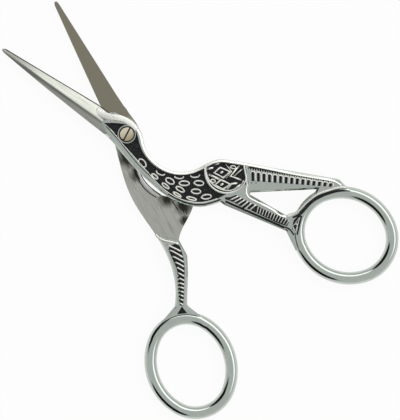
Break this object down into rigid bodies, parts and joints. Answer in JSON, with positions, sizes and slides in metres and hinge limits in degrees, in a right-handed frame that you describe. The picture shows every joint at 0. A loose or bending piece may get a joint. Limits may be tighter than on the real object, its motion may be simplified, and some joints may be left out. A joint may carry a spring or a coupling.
{
  "type": "stork embroidery scissors",
  "caption": "Small bird-shaped embroidery scissors: two steel halves with oval finger rings cross at a slotted pivot screw and open to cut thread.",
  "frame": {"origin": "on the pivot axis, in the flat back face of the rear half's pivot boss, which is level with what the scissors lie on", "axes": "+Z up out of that face along the pivot axis, towards the screw's head; +X to the right and +Y up in the picture, so the points lie towards -X +Y and the finger rings towards +X and -Y"},
  "size_m": [0.1033, 0.1089, 0.0038],
  "materials": {
    "plated_steel": "nickel-plated forged steel, polished on rims and rings, black oxide in the sunk relief, ground on the blades and inner faces",
    "nickel_silver": "turned nickel silver with a pale brass tint"
  },
  "bodies": {
    "rear": {"rear_half": "plated_steel", "pivot_screw": "nickel_silver"},
    "front": {"front_half": "plated_steel"}
  },
  "joints": [
    {"name": "pivot", "type": "hinge", "parent": "rear", "child": "front", "pos_m": [0, 0, 0.00172], "axis": [0, 0, 1], "range_deg": [-26.7, 120]}
  ]
}
